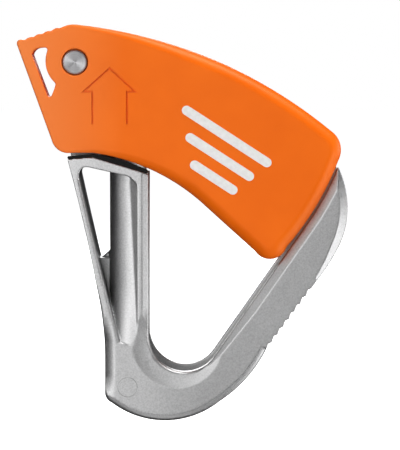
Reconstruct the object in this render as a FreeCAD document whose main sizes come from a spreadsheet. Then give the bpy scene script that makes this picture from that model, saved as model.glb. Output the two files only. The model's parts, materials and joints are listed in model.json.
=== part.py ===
"""Ascender: alloy V frame with a rope channel, and a sprung nylon arm that presses the rope on a tooth plate.

Frame of the part: the origin is the centre of the round bottom of the connector opening, +X towards the frame's
right arm, +Z up along the rope, and the front, with the axle's head, faces -Y. Lengths are in millimetres.
"""

import FreeCAD, Part
import math
import os

V = FreeCAD.Vector

# Driving dimensions. The spreadsheet holds the same values under the same names.
SIZES = {
    "frame_thick": 17.0,
    "rope_gap": 11.4,
    "channel_wall": 1.6,
    "channel_x": -7.94,
    "channel_low": -6.0,
    "channel_tall": 57.0,
    "slope_tall": 37.6,
    "web_thick": 6.2,
    "boss_thick": 2.6,
    "eye_radius": 7.25,
    "arm_lean": 55.1,
    "axle_x": -21.9,
    "axle_z": 55.0,
    "axle_radius": 2.0,
    "axle_play": 0.05,
    "axle_head_radius": 2.42,
    "axle_head_depth": 1.1,
    "axle_tail_radius": 2.7,
    "axle_tail_depth": 0.55,
    "head_recess_radius": 2.66,
    "head_recess_depth": 1.5,
    "end_gap": 0.4,
    "lug_front": -1.0,
    "lug_rear": 7.3,
    "lug_radius": 5.0,
    "arm_front": -9.8,
    "arm_rear": 8.5,
    "arm_wall": 2.2,
    "arm_rim": 2.0,
    "cover_thick": 1.8,
    "cover_lip": 1.2,
    "hub_radius": 5.7,
    "hub_rear": -1.7,
    "spring_wire": 0.9,
    "spring_mean": 4.1,
    "spring_turns": 4,
    "spring_room_radius": 4.95,
    "spring_core_radius": 3.1,
    "spring_hole_radius": 0.55,
    "spring_hole_deep": 5.2,
    "spring_front": -6.1,
    "spring_room_front": -6.6,
    "spring_room_deep": 8.0,
    "spring_seat_deep": 0.9,
    "washer_radius": 3.1,
    "washer_thick": 0.55,
    "rear_washer_radius": 3.6,
    "rear_washer_thick": 0.5,
    "tooth_plate_thick": 0.9,
    "tooth_plate_low": 36.5,
    "tooth_plate_high": 50.0,
    "rivet_radius": 0.8,
    "rivet_head_radius": 1.3,
    "rivet_hole_deep": 4.0,
    "cleaning_slot_wide": 2.0,
    "cleaning_slot_tall": 7.0,
    "pad_thick": 0.6,
    "pad_deep": 0.95,
    "pad_gap": 0.3,
    "engrave_width": 0.28,
    "engrave_depth": 0.25,
    "leg_bevel_wide": 1.35,
    "leg_bevel_deep": 0.55,
    "bottom_bevel_wide": 0.75,
    "bottom_bevel_deep": 0.6,
    "arm_bevel_wide": 1.6,
    "arm_bevel_deep": 0.95,
    "outer_bevel_wide": 1.6,
    "outer_bevel_deep": 0.95,
    "foot_bevel_wide": 1.2,
    "foot_bevel_deep": 0.35,
    "window_bevel": 0.35,
    "dish_radius": 9.1,
    "dish_depth": 0.55,
    "dish_slope": 2.9,
    "dish_x": -1.5,
    "dish_z": -1.4,
}
S = SIZES
HALF = S["frame_thick"] / 2
ARM_INNER_FRONT = S["arm_front"] + S["arm_wall"]
COVER_FRONT = S["arm_rear"] - S["cover_thick"]
CHANNEL_INNER = S["rope_gap"] / 2
CHANNEL_OUTER = CHANNEL_INNER + S["channel_wall"]
AXLE = (S["axle_x"], S["axle_z"])
CHANNEL = (S["channel_x"], 0.0)
RIVET_HEIGHTS = (38.0, 48.6)
CLEANING_LOW = 39.8
# The plate sinks this far into the channel's wall.
TOOTH_SEAT_RADIUS = CHANNEL_INNER + S["tooth_plate_thick"] - 0.2
# Left face of the arm's thick part, which presses the rope.
PRESSER_X = -6.5
# How square the channel's outside is: 1 gives an ellipse, and less is squarer.
OVAL_POWER = 0.7
# Length that cuts right through any piece.
THROUGH = "5 * sizes.frame_thick"

doc = FreeCAD.newDocument("ascender")
sheet = doc.addObject("Spreadsheet::Sheet", "sizes")
for row, (alias, value) in enumerate(SIZES.items(), start=1):
    sheet.set(f"A{row}", alias)
    sheet.set(f"B{row}", str(value))
    sheet.setAlias(f"B{row}", alias)
doc.recompute()


# ---------------------------------------------------------------- helpers: points and outlines

def polar(centre, radius, degrees):
    """Point at a radius and an angle round a centre."""
    turn = math.radians(degrees)
    return (centre[0] + radius * math.cos(turn), centre[1] + radius * math.sin(turn))


def circle_of(a, b, c):
    """Centre and radius of the circle through three points."""
    d = 2 * (a[0] * (b[1] - c[1]) + b[0] * (c[1] - a[1]) + c[0] * (a[1] - b[1]))
    a2, b2, c2 = (p[0] ** 2 + p[1] ** 2 for p in (a, b, c))
    x = (a2 * (b[1] - c[1]) + b2 * (c[1] - a[1]) + c2 * (a[1] - b[1])) / d
    y = (a2 * (c[0] - b[0]) + b2 * (a[0] - c[0]) + c2 * (b[0] - a[0])) / d
    return (x, y), math.hypot(a[0] - x, a[1] - y)


def arc_spots(a, b, c, count):
    """Points that follow a on the arc through a, b and c."""
    centre, radius = circle_of(a, b, c)
    first, middle, last = (math.degrees(math.atan2(p[1] - centre[1], p[0] - centre[0])) for p in (a, b, c))
    sweep = (last - first) % 360
    if (middle - first) % 360 > sweep:
        sweep -= 360
    return [polar(centre, radius, first + sweep * i / count) for i in range(1, count + 1)]


def on_crown(points, x, inset=0.0):
    """Point at that x on the upper half of the circle through three points, or of a circle inside it."""
    (cx, cz), radius = circle_of(*points)
    return (x, cz + math.sqrt((radius - inset) ** 2 - (x - cx) ** 2))


def edges(path):
    """Sketch geometry of a path of points, with ("arc", middle, end) and ("spline", points) as its curved steps."""
    here = path[0]
    made = []
    for step in path[1:]:
        if step[0] == "arc":
            middle, end = step[1], step[2]
            made.append(Part.Arc(V(*here, 0), V(*middle, 0), V(*end, 0)))
        elif step[0] == "spline":
            end = step[1][-1]
            curve = Part.BSplineCurve()
            curve.interpolate([V(*point, 0) for point in [here] + step[1]])
            made.append(curve)
        else:
            end = step
            made.append(Part.LineSegment(V(*here, 0), V(*end, 0)))
        here = end
    return made


def bumps(start, end, count, bulge):
    """Path steps of a row of rounded bumps, which bulge to the left of the way they run."""
    dx, dz = (end[0] - start[0]) / count, (end[1] - start[1]) / count
    size = math.hypot(dx, dz)
    out = (-dz / size * bulge, dx / size * bulge)
    steps = []
    for i in range(count):
        x, z = start[0] + dx * i, start[1] + dz * i
        steps.append(("arc", (x + dx * 0.5 + out[0], z + dz * 0.5 + out[1]), (x + dx, z + dz)))
    return steps


def sawteeth(start, end, count, peak, valley):
    """Path steps of a row of rounded saw teeth from one point to another; heights are to the left of the way."""
    dx, dz = (end[0] - start[0]) / count, (end[1] - start[1]) / count
    size = math.hypot(dx, dz)
    out = (-dz / size, dx / size)

    def spot(along, height):
        return (start[0] + dx * along + out[0] * height, start[1] + dz * along + out[1] * height)

    steps = []
    for i in range(count):
        steps += [spot(i + 0.5, peak * 0.8), ("arc", spot(i + 0.62, peak), spot(i + 0.74, peak * 0.8))]
        steps.append(spot(i + 1, valley))
    return steps


def ribbon(points, width):
    """Closed outline of a stroke of the given width along an open line of points."""
    def side(sign):
        out = []
        for i, (x, z) in enumerate(points):
            ways = []
            for a, b in ((i - 1, i), (i, i + 1)):
                if a >= 0 and b < len(points):
                    dx, dz = points[b][0] - points[a][0], points[b][1] - points[a][1]
                    size = math.hypot(dx, dz)
                    ways.append((-dz / size, dx / size))
            nx, nz = sum(w[0] for w in ways), sum(w[1] for w in ways)
            mitre = 2 / (nx * nx + nz * nz) if len(ways) == 2 else 1.0
            reach = sign * width / 2 * mitre
            out.append((x + nx * reach, z + nz * reach))
        return out

    left, right = side(1), side(-1)
    return left + right[::-1] + [left[0]]


# ---------------------------------------------------------------- helpers: document objects

def new_body(label):
    body = doc.addObject("PartDesign::Body", label)
    body.Label = label
    return body


def sketch(body, plane, name, height, path=None, circles=()):
    """Closed sketch on one of the body's own origin planes, moved along the plane's normal by height.

    On XZ_Plane the normal is -Y, so a height of 3 lies at y = -3.
    """
    drawn = body.newObject("Sketcher::SketchObject", name)
    base = next(f for f in body.Origin.OriginFeatures if f.Role == plane)
    drawn.AttachmentSupport = [(base, "")]
    drawn.MapMode = "FlatFace"
    drawn.AttachmentOffset = FreeCAD.Placement(V(0, 0, height), FreeCAD.Rotation())
    if path:
        drawn.addGeometry(edges(path), False)
    for (x, z), radius in circles:
        drawn.addGeometry(Part.Circle(V(x, z, 0), V(0, 0, 1), radius), False)
    return drawn


def feature(body, kind, name, profile, length, midplane=False, reverse=False):
    """Pad or Pocket of a sketch; length is an expression of the sheet's aliases."""
    made = body.newObject(f"PartDesign::{kind}", name)
    made.Profile = profile
    made.Midplane = midplane
    made.Reversed = reverse
    made.setExpression("Length", length)
    doc.recompute()
    return made


def slab(name, path, y_front, length):
    """Body with one pad that starts at y_front and runs towards +Y by an expression."""
    body = new_body(name)
    profile = sketch(body, "XZ_Plane", f"{name}_outline", -y_front, path)
    feature(body, "Pad", f"{name}_pad", profile, length, reverse=True)
    return body


def lies_at(edge, y):
    """Whether the whole edge lies in the plane of that y."""
    box = edge.BoundBox
    return abs(box.YMin - y) < 0.001 and abs(box.YMax - y) < 0.001


def cylinder(name, radius, length, x, y, z, towards="y"):
    """Part::Cylinder that runs from its base point towards +Y or +X; radius and length are expressions."""
    made = doc.addObject("Part::Cylinder", name)
    made.setExpression("Radius", radius)
    made.setExpression("Height", length)
    turn = FreeCAD.Rotation(V(1, 0, 0), -90) if towards == "y" else FreeCAD.Rotation(V(0, 1, 0), 90)
    made.Placement = FreeCAD.Placement(V(x, y, z), turn)
    return made


def joined(name, pieces):
    made = doc.addObject("Part::MultiFuse", name)
    made.Shapes = pieces
    return made


def cut(name, base, tool):
    made = doc.addObject("Part::Cut", name)
    made.Base = base
    made.Tool = tool
    return made


def eased(name, kind, base, y, size):
    """Part::Fillet or Part::Chamfer of the base's edges that lie at y."""
    doc.recompute()
    made = doc.addObject(f"Part::{kind}", name)
    made.Base = base
    made.Edges = [(i, size, size) for i, edge in enumerate(base.Shape.Edges, start=1) if lies_at(edge, y)]
    doc.recompute()
    return made


def shape_piece(name, shape):
    """Part::Feature, for a form that neither sketches nor primitives give."""
    made = doc.addObject("Part::Feature", name)
    made.Shape = shape
    return made


# ---------------------------------------------------------------- shared outlines

LEAN = math.radians(S["arm_lean"])
INNER_NORMAL = (math.sin(LEAN), -math.cos(LEAN))
INNER_WAY = (math.cos(LEAN), math.sin(LEAN))


def inner_line(distance, outwards=0.0):
    """Point on the right arm's straight inner wall, measured along it, and moved outwards."""
    r = S["eye_radius"] + outwards
    return (r * INNER_NORMAL[0] + distance * INNER_WAY[0], r * INNER_NORMAL[1] + distance * INNER_WAY[1])


# Where the straight wall is nearest to the axle, it goes on as an arc round the axle.
NEAREST = AXLE[0] * INNER_WAY[0] + AXLE[1] * INNER_WAY[1]
ARC_START = inner_line(NEAREST)
WALL_RADIUS = math.hypot(ARC_START[0] - AXLE[0], ARC_START[1] - AXLE[1])
ARM_END = WALL_RADIUS - S["end_gap"]
TIP_INNER = polar(AXLE, WALL_RADIUS, -21.6)
SHOULDER = [(-S["eye_radius"], 32.65), (-18.4, 36.0), (-23.5, 35.6)]
GRIP_HIGH = (25.4, 9.6)
GRIP_TEETH = [(24.8, 9.4), (16.8, -1.5)]
GRIP_LOW = (16.5, -2.5)
OUTER_ARC = [(31.0, 33.6), (32.75, 26.0), (31.2, 18.4)]
FOOT = [GRIP_LOW, (12.6, -8.4), (7.1, -13.2), (-3.7, -17.15), (-14.7, -13.55)]
CORNER = [(-15.7, -12.75), (-16.1, -11.6)]
LEFT_SIDE = [(-16.1, -3.5), (-16.6, 3.6), (-17.77, 10.26), (-20.4, 23.06), SHOULDER[2]]
WINDOW_RAIL = [(-21.1, 31.8), (-17.85, 17.5), (-13.1, -1.3)]
TOP_EDGE = [(-21.4, 62.5), (-6.6, 59.72), (8.2, 54.45)]
THUMB_ROW = [(-31.8, 59.4), (-24.8, 61.8)]
LOW_EDGE = [(3.1, 27.1), (-6.8, 33.5), (-18.3, 36.9)]


def frame_outline():
    eye = S["eye_radius"]
    path = [(-eye, 0.0), ("arc", polar((0, 0), eye, 250), inner_line(0.0)), ARC_START]
    path += [("arc", polar(AXLE, WALL_RADIUS, -27), TIP_INNER)]
    path += [OUTER_ARC[0], ("arc", OUTER_ARC[1], OUTER_ARC[2]), ("arc", (29.25, 14.9), (26.6, 11.2))]
    path += [GRIP_HIGH, GRIP_TEETH[0]]
    path += sawteeth(*GRIP_TEETH, 7, 0.42, 0.0)
    path += [GRIP_LOW, ("arc", FOOT[1], FOOT[2]), ("arc", FOOT[3], FOOT[4])]
    path += [("arc", CORNER[0], CORNER[1])]
    path += [LEFT_SIDE[0], ("arc", LEFT_SIDE[1], LEFT_SIDE[2]), ("arc", LEFT_SIDE[3], LEFT_SIDE[4])]
    path += [SHOULDER[1], SHOULDER[0], (-eye, 0.0)]
    return path


def right_part_of_arm():
    """Path along the arm from the top edge's end round the right end to the lower edge."""
    path = [("arc", (19.1, 48.6), (29.4, 41.2)), ("arc", (31.2, 38.6), polar(AXLE, ARM_END, -20.5))]
    path += [("arc", polar(AXLE, ARM_END, -31), polar(AXLE, ARM_END, -41.2))]
    path += [("arc", (17.7, 15.5), (14.2, 17.0)), LOW_EDGE[0]]
    return path


def arm_outline():
    """Whole arm, clockwise from the left tip, with the thumb pad's bumps first."""
    path = [(-33.4, 58.4), ("arc", (-33.3, 59.25), (-32.5, 59.5)), THUMB_ROW[0]]
    path += bumps(*THUMB_ROW, 4, 0.28)
    path += [("arc", (-23.16, 62.44), TOP_EDGE[0]), ("arc", TOP_EDGE[1], TOP_EDGE[2])]
    path += right_part_of_arm()
    path += [("arc", LOW_EDGE[1], LOW_EDGE[2]), (-22.6, 36.9)]
    path += [("arc", (-25.4, 37.6), (-26.6, 39.5)), (-33.4, 58.4)]
    return path


def thick_outline():
    """The arm's thick part, to the right of the rope."""
    path = [on_crown(TOP_EDGE, PRESSER_X), ("arc", on_crown(TOP_EDGE, 1.0), TOP_EDGE[2])]
    path += right_part_of_arm()
    path += [("arc", on_crown(LOW_EDGE, -2.0), on_crown(LOW_EDGE, PRESSER_X)), path[0]]
    return path


def hollows():
    """The two hollows of the thick part, open to the rear, with a rib between them."""
    end = ARM_END - S["arm_rim"]
    near = [(-2.5, 33.8), (-2.5, 56.2), ("arc", (3.3, 54.2), (9.0, 51.6)), (9.0, 24.8), (3.9, 29.4), (-2.5, 33.8)]
    far = [(10.6, 50.9), ("arc", (18.4, 46.5), (27.2, 40.0)), polar(AXLE, end, -19.6)]
    far += [("arc", polar(AXLE, end, -29), polar(AXLE, end, -40)), (17.4, 18.4), (15.0, 19.5), (10.6, 23.4)]
    far.append(far[0])
    return [near, far]


# ---------------------------------------------------------------- frame

def rim_cutter(sign, stations):
    """Cutter for a bevel along an edge of one face, which may change in width.

    Each station is a point, the bevel's width on the face and its depth. The metal is on the right of the line.
    """
    over = 0.4
    face = sign * HALF
    spots = [station[0] for station in stations]
    wires = []
    for i, ((x, z), wide, deep) in enumerate(stations):
        before, after = spots[max(i - 1, 0)], spots[min(i + 1, len(spots) - 1)]
        dx, dz = after[0] - before[0], after[1] - before[1]
        size = math.hypot(dx, dz)
        slope = deep / wide
        section = [(-over, face - sign * (deep + over * slope)), (wide + over, face + sign * over * slope),
                   (-over, face + sign * over * slope)]
        corners = [V(x + dz / size * r, y, z - dx / size * r) for r, y in section]
        wires.append(Part.makePolygon(corners + [corners[0]]))
    return Part.makeLoft(wires, True, True)


def opening_rim():
    """Stations along the connector opening: down the leg, round the bottom, and up the right arm to its tip."""
    eye = S["eye_radius"]
    leg, bottom, arm = ((S[f"{place}_bevel_wide"], S[f"{place}_bevel_deep"]) for place in ("leg", "bottom", "arm"))
    stations = [((-eye, SHOULDER[0][1] + 1), *leg), ((-eye, 0.0), *leg)]

    def between(first, last, share):
        return tuple(a + (b - a) * share for a, b in zip(first, last))

    lowest, end = 270, 360 - (90 - S["arm_lean"])
    stations += [(polar((0, 0), eye, a), *between(leg, bottom, (a - 180) / 90)) for a in range(190, lowest, 10)]
    stations += [(polar((0, 0), eye, a), *bottom) for a in range(lowest, int(end), 10)]
    taper = 12
    stations += [(inner_line(d), *between(bottom, arm, d / taper)) for d in range(0, taper + 1, 3)]
    stations += [(polar(AXLE, WALL_RADIUS, a), *arm) for a in (-34.9, -31, -27, -23, -19)]
    return stations


def outer_rim():
    """Stations along the right arm's outer side, from beyond its tip down to the grip."""
    wide, deep = S["outer_bevel_wide"], S["outer_bevel_deep"]
    beyond_tip = (OUTER_ARC[0][0] - 1.2, OUTER_ARC[0][1] + 1.4)
    spots = [beyond_tip, OUTER_ARC[0]] + arc_spots(*OUTER_ARC, 8)
    stations = [(spot, wide, deep) for spot in spots]
    return stations + [((29.25, 14.9), wide * 0.7, deep * 0.7), ((26.6, 11.2), wide * 0.35, deep * 0.35)]


def foot_rim(wide, deep):
    """Stations from below the grip round the frame's foot and up the leg's left side, where the bevel fades out."""
    spots = [(spot, 1.0) for spot in [FOOT[0]] + arc_spots(*FOOT[:3], 8) + arc_spots(*FOOT[2:], 14)]
    spots += [(spot, 1.0) for spot in arc_spots(FOOT[4], *CORNER, 5) + [LEFT_SIDE[0]]]
    rise = arc_spots(*LEFT_SIDE[:3], 5)
    spots += [(spot, 1 - 0.17 * i) for i, spot in enumerate(rise, start=1)]
    return [(spot, wide * share, deep * share) for spot, share in spots]


def window_rim():
    """Stations down the right edge of the leg's rail."""
    size = S["window_bevel"]
    return [(spot, size, size) for spot in [WINDOW_RAIL[0]] + arc_spots(*WINDOW_RAIL, 8)]


def oval(front):
    """Points over the front of the channel's outside, where it is as deep as the given size, round to its left.

    Both powers below one make it squarer than an ellipse.
    """
    turns = [math.radians(angle) for angle in range(0, 91, 15)]
    return [(CHANNEL[0] - CHANNEL_OUTER * math.sin(t) ** OVAL_POWER, -front * max(math.cos(t), 0.0) ** OVAL_POWER)
            for t in turns]


def ramp_section(body, name, height, front):
    """Section of the ramp: the points over the front, and the same over the rear."""
    rear = [(x, -y) for x, y in front[-2::-1]]
    return sketch(body, "XY_Plane", name, height, [front[0], ("spline", front[1:] + rear), front[0]])


def build_frame_blank():
    body = new_body("frame_blank")
    plate = sketch(body, "XZ_Plane", "plate_outline", 0, frame_outline())
    feature(body, "Pad", "plate", plate, "sizes.frame_thick", midplane=True)

    # The lug carries the axle. It lies behind the arm's front wall and hub.
    left, crown, right = (polar(AXLE, S["lug_radius"], angle) for angle in (192, 120, 60))
    path = [(-22.7, 34.0), left, ("arc", crown, right), (-12.5, 53.0), (CHANNEL[0], 51.0), (CHANNEL[0], 31.0)]
    path += [(-22.7, 31.0), (-22.7, 34.0)]
    lug = sketch(body, "XZ_Plane", "lug_outline", -S["lug_rear"], path)
    feature(body, "Pad", "lug", lug, "sizes.lug_rear - sizes.lug_front")

    # Window between the leg's thin left rail and the channel.
    path = [(-19.4, 34.0), (-12.4, 32.43), ("arc", (-10.45, 31.57), (-9.4, 29.6)), (-9.5, -2.6), WINDOW_RAIL[2]]
    path += [("arc", WINDOW_RAIL[1], WINDOW_RAIL[0]), ("arc", (-20.9, 33.4), (-19.4, 34.0))]
    window = sketch(body, "XZ_Plane", "window_outline", 0, path)
    feature(body, "Pocket", "window", window, THROUGH, midplane=True)

    # Round wall of the channel, and the ramp where it runs out into the frame's faces.
    cx, outer = CHANNEL[0], CHANNEL_OUTER
    path = [(cx, -outer), ("arc", (cx - outer, 0), (cx, outer)), (cx, -outer)]
    channel = sketch(body, "XY_Plane", "channel_outline", S["channel_low"], path)
    feature(body, "Pad", "channel", channel, "sizes.channel_tall")
    ramp = body.newObject("PartDesign::AdditiveLoft", "ramp")
    ramp.Profile = ramp_section(body, "ramp_top", 31.0, oval(outer))
    low = [(cx, -8.45), (-9.8, -8.45), (-11.5, -8.4), (-12.9, -8.05), (-14.2, -7.0), (-15.1, -4.6), (cx - outer, 0)]
    ramp.Sections = [ramp_section(body, "ramp_middle", 9.5, oval(8.08)), ramp_section(body, "ramp_low", -2.5, low)]
    ramp.Ruled = True
    doc.recompute()

    # Web that ties the rail to the channel below the open part of the window.
    path = [(-17.6, 15.4), (-14.0, 15.4), (-12.0, -2.0), (-14.5, -2.0), (-17.6, 15.4)]
    web = sketch(body, "XZ_Plane", "web_outline", 0, path)
    feature(body, "Pad", "web", web, "sizes.web_thick", midplane=True)
    path = [(-17.0, 15.3), (-14.7, 17.3), (-14.0, 17.3), (-14.0, 15.3), (-17.0, 15.3)]
    gusset = sketch(body, "XZ_Plane", "gusset_outline", 0, path)
    feature(body, "Pad", "gusset", gusset, "sizes.web_thick / 2", midplane=True)

    # Slope from the leg's right flange down to the channel's round wall, front and rear.
    for side, sign in (("front", -1), ("rear", 1)):
        face, floor = sign * HALF, sign * 6.0
        path = [(-9.2, face), (-9.45, face), (-12.2, floor), (-9.2, floor), (-9.2, face)]
        slope = sketch(body, "XY_Plane", f"slope_{side}_outline", S["channel_low"], path)
        feature(body, "Pad", f"slope_{side}", slope, "sizes.slope_tall")

    # Boss behind the tooth plate, for its two rivets.
    path = [(-17.3, 36.0), (-17.3, 50.2), (-13.6, 50.2), (-13.6, 36.0), (-17.3, 36.0)]
    boss = sketch(body, "XZ_Plane", "rivet_boss_outline", 0, path)
    feature(body, "Pad", "rivet_boss", boss, "sizes.boss_thick")

    # Rope space: the round channel, and the gap between the two cheeks to its right.
    round_part = sketch(body, "XY_Plane", "rope_round_outline", 0, circles=[(CHANNEL, CHANNEL_INNER)])
    feature(body, "Pocket", "rope_round", round_part, "3 * sizes.channel_tall", midplane=True)
    path = [(cx, -30), (50, -30), (50, 70), (cx, 70), (cx, -30)]
    gap = sketch(body, "XZ_Plane", "cheek_gap_outline", 0, path)
    feature(body, "Pocket", "cheek_gap", gap, "sizes.rope_gap", midplane=True)

    # Seat of the tooth plate.
    first, last = polar(CHANNEL, TOOTH_SEAT_RADIUS, 120), polar(CHANNEL, TOOTH_SEAT_RADIUS, 240)
    path = [first, ("arc", (cx - TOOTH_SEAT_RADIUS, 0), last), CHANNEL, first]
    seat = sketch(body, "XY_Plane", "tooth_seat_outline", S["tooth_plate_low"], path)
    feature(body, "Pocket", "tooth_seat", seat, "sizes.tooth_plate_high - sizes.tooth_plate_low", reverse=True)

    # Holes for the axle and for the spring's rear leg.
    hole = sketch(body, "XZ_Plane", "axle_hole_outline", 0, circles=[(AXLE, S["axle_radius"])])
    feature(body, "Pocket", "axle_hole", hole, THROUGH, midplane=True)
    leg_spot = (polar(AXLE, S["spring_mean"], 270), S["spring_hole_radius"])
    leg = sketch(body, "XZ_Plane", "spring_hole_outline", 0, circles=[leg_spot])
    feature(body, "Pocket", "spring_hole", leg, "sizes.spring_hole_deep", midplane=True)
    return body


def build_frame():
    blank = build_frame_blank()
    tools = [cylinder(f"rivet_hole_{i}", "sizes.rivet_radius", "sizes.rivet_hole_deep", -17.0, 0, z, "x")
             for i, z in enumerate(RIVET_HEIGHTS)]
    slot = doc.addObject("Part::Box", "cleaning_slot_tool")
    slot.Length = 3.6
    slot.setExpression("Width", "sizes.cleaning_slot_wide")
    slot.setExpression("Height", "sizes.cleaning_slot_tall")
    slot.Placement = FreeCAD.Placement(V(-16.6, -S["cleaning_slot_wide"] / 2, CLEANING_LOW), FreeCAD.Rotation())
    tools.append(slot)
    for side, sign in (("front", -1), ("rear", 1)):
        wide, deep = S["foot_bevel_wide"], S["foot_bevel_deep"]
        # Two cuts round the foot, one wide and one deep, stand for a rounded edge.
        rims = {"opening": opening_rim(), "outer": outer_rim(), "window": window_rim(),
                "foot_wide": foot_rim(wide, deep), "foot_deep": foot_rim(wide / 2, deep * 2)}
        tools += [shape_piece(f"{name}_rim_{side}", rim_cutter(sign, rims[name])) for name in rims]
        face = sign * HALF
        shallow, spare = S["dish_depth"], 0.6
        beyond = shallow * spare / S["dish_slope"]
        dish = Part.makeCone(S["dish_radius"] - S["dish_slope"], S["dish_radius"] + spare, shallow + beyond,
                             V(S["dish_x"], face - sign * shallow, S["dish_z"]), V(0, sign, 0))
        tools.append(shape_piece(f"dish_{side}", dish))
    frame = cut("frame_cut", blank, joined("frame_tools", tools))
    frame.Label = "frame_body"
    return frame


# ---------------------------------------------------------------- arm

def build_arm_shell():
    blank = slab("arm_blank", arm_outline(), S["arm_front"], "sizes.arm_rear - sizes.cover_thick - sizes.arm_front")
    front = S["arm_front"]

    # Room for the rope and the frame's lug, behind the front wall, the hub and the thumb tab.
    path = [(-45, 10), (PRESSER_X, 10), (PRESSER_X, 75), (-45, 75), (-45, 10)]
    tools = [slab("rope_room", path, S["hub_rear"], THROUGH)]
    hub = S["hub_radius"]
    path = [(PRESSER_X, 10), (PRESSER_X, 75), (-22.6, 75), polar(AXLE, hub, 90)]
    path += [("arc", polar(AXLE, hub, -10), polar(AXLE, hub, 246)), (-26.0, 46.4), (-45, 45.6), (-45, 10)]
    path.append(path[0])
    tools.append(slab("wall_back", path, ARM_INNER_FRONT, "sizes.hub_rear - sizes.arm_front"))
    for i, hollow in enumerate(hollows()):
        tools.append(slab(f"hollow_{i}", hollow, ARM_INNER_FRONT, THROUGH))

    # Slot for a keeper cord, its right side round the hub.
    path = [(-30.45, 56.5), ("arc", (-29.8, 57.5), (-28.7, 57.85)), (-27.9, 57.95)]
    path += [("arc", (-27.5, 57.8), polar(AXLE, 5.95, 157))]
    path += [("arc", polar(AXLE, 5.82, 192), polar(AXLE, 5.72, 228)), (-25.95, 49.9), (-26.5, 48.5)]
    path += [("arc", (-26.95, 48.05), (-27.4, 48.4)), (-30.45, 56.5)]
    tools.append(slab("keeper_slot", path, front - 1, THROUGH))

    ax, az = AXLE
    room = S["spring_room_front"]
    tools.append(cylinder("arm_bore", "sizes.axle_radius + sizes.axle_play", "40", ax, -20, az))
    tools.append(cylinder("head_recess", "sizes.head_recess_radius", "sizes.head_recess_depth + 5",
                          ax, front - 5, az))
    outer = cylinder("spring_room_outer", "sizes.spring_room_radius", "sizes.spring_room_deep", ax, room, az)
    core = cylinder("spring_room_core", "sizes.spring_core_radius", "sizes.spring_room_deep + 0.2",
                    ax, room - 0.1, az)
    tools.append(cut("spring_room", outer, core))
    x, z = polar(AXLE, S["spring_mean"], 270)
    tools.append(cylinder("spring_seat", "sizes.spring_hole_radius", "sizes.spring_seat_deep + 0.5",
                          x, room - S["spring_seat_deep"], z))

    arrow = [(-18.4, 42.7), (-18.4, 49.15), (-20.15, 49.15), (-14.95, 53.8), (-9.9, 49.15), (-11.5, 49.15),
             (-11.5, 42.7)]
    tools.append(slab("arrow_groove", ribbon(arrow, S["engrave_width"]), front - 1, "sizes.engrave_depth + 1"))
    shell = cut("arm_cut", blank, joined("arm_tools", tools))
    shell.Label = "arm_shell"
    return shell


def build_arm_cover():
    plate = slab("cover_blank", thick_outline(), COVER_FRONT, "sizes.cover_thick")
    lips = [slab(f"cover_lip_{i}", hollow, COVER_FRONT - S["cover_lip"], "sizes.cover_lip + 0.1")
            for i, hollow in enumerate(hollows())]
    cover = joined("cover_joined", [plate] + lips)
    cover.Label = "arm_rear_cover"
    return cover


# ---------------------------------------------------------------- axle, washers, spring, tooth plate, pad

def build_axle():
    ax, az = AXLE
    head_back = S["arm_front"] + S["head_recess_depth"] - 0.1
    head_front = head_back - S["axle_head_depth"]
    tail_front = S["lug_rear"] + S["rear_washer_thick"]
    head = cylinder("axle_head", "sizes.axle_head_radius", "sizes.axle_head_depth", ax, head_front, az)
    shaft = cylinder("axle_shaft", "sizes.axle_radius", str(tail_front - head_front - 0.5), ax, head_front + 0.5, az)
    tail = cylinder("axle_tail", "sizes.axle_tail_radius", "sizes.axle_tail_depth", ax, tail_front, az)
    edged = eased("axle_head_edged", "Chamfer", head, head_front, 0.22)
    domed = eased("axle_tail_domed", "Fillet", tail, tail_front + S["axle_tail_depth"], 0.4)
    axle = joined("axle_joined", [edged, shaft, domed])
    axle.Label = "pivot_axle"
    return axle


def build_washer(label, radius, thick, y):
    ax, az = AXLE
    disc = cylinder(f"{label}_disc", radius, thick, ax, y, az)
    hole = cylinder(f"{label}_hole", "sizes.axle_radius", "5", ax, y - 1, az)
    washer = cut(f"{label}_cut", disc, hole)
    washer.Label = label
    return washer


def build_spring():
    """Torsion spring: coils round the axle, a leg forwards into the arm and a leg back into the lug."""
    wire, mean, turns = S["spring_wire"] / 2, S["spring_mean"], S["spring_turns"]
    pitch = S["spring_wire"] + 0.08
    height = pitch * turns
    rise = pitch / (2 * math.pi * mean)
    ring = Part.Wire([Part.makeCircle(wire, V(mean, 0, 0), V(0, 1, rise))])
    coil = Part.Wire(Part.makeHelix(pitch, height, mean).Edges).makePipeShell([ring], True, True)
    lift = V(0, 0, 1)
    front_leg = Part.makeCylinder(wire, 1.1, V(mean, 0, -1.1), lift)
    rear_leg = Part.makeCylinder(wire, 4.1, V(mean, 0, height), lift)
    ends = [Part.makeSphere(wire, V(mean, 0, z)) for z in (0, height)]
    spring = coil.fuse([front_leg, rear_leg] + ends)
    # From the helix's own axes: its axis goes to +Y, and its legs to below the axle.
    spring.rotate(V(0, 0, 0), V(1, 0, 0), -90)
    spring.rotate(V(0, 0, 0), V(0, 1, 0), 90)
    spring.translate(V(AXLE[0], S["spring_front"], AXLE[1]))
    return shape_piece("torsion_spring", spring)


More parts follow.
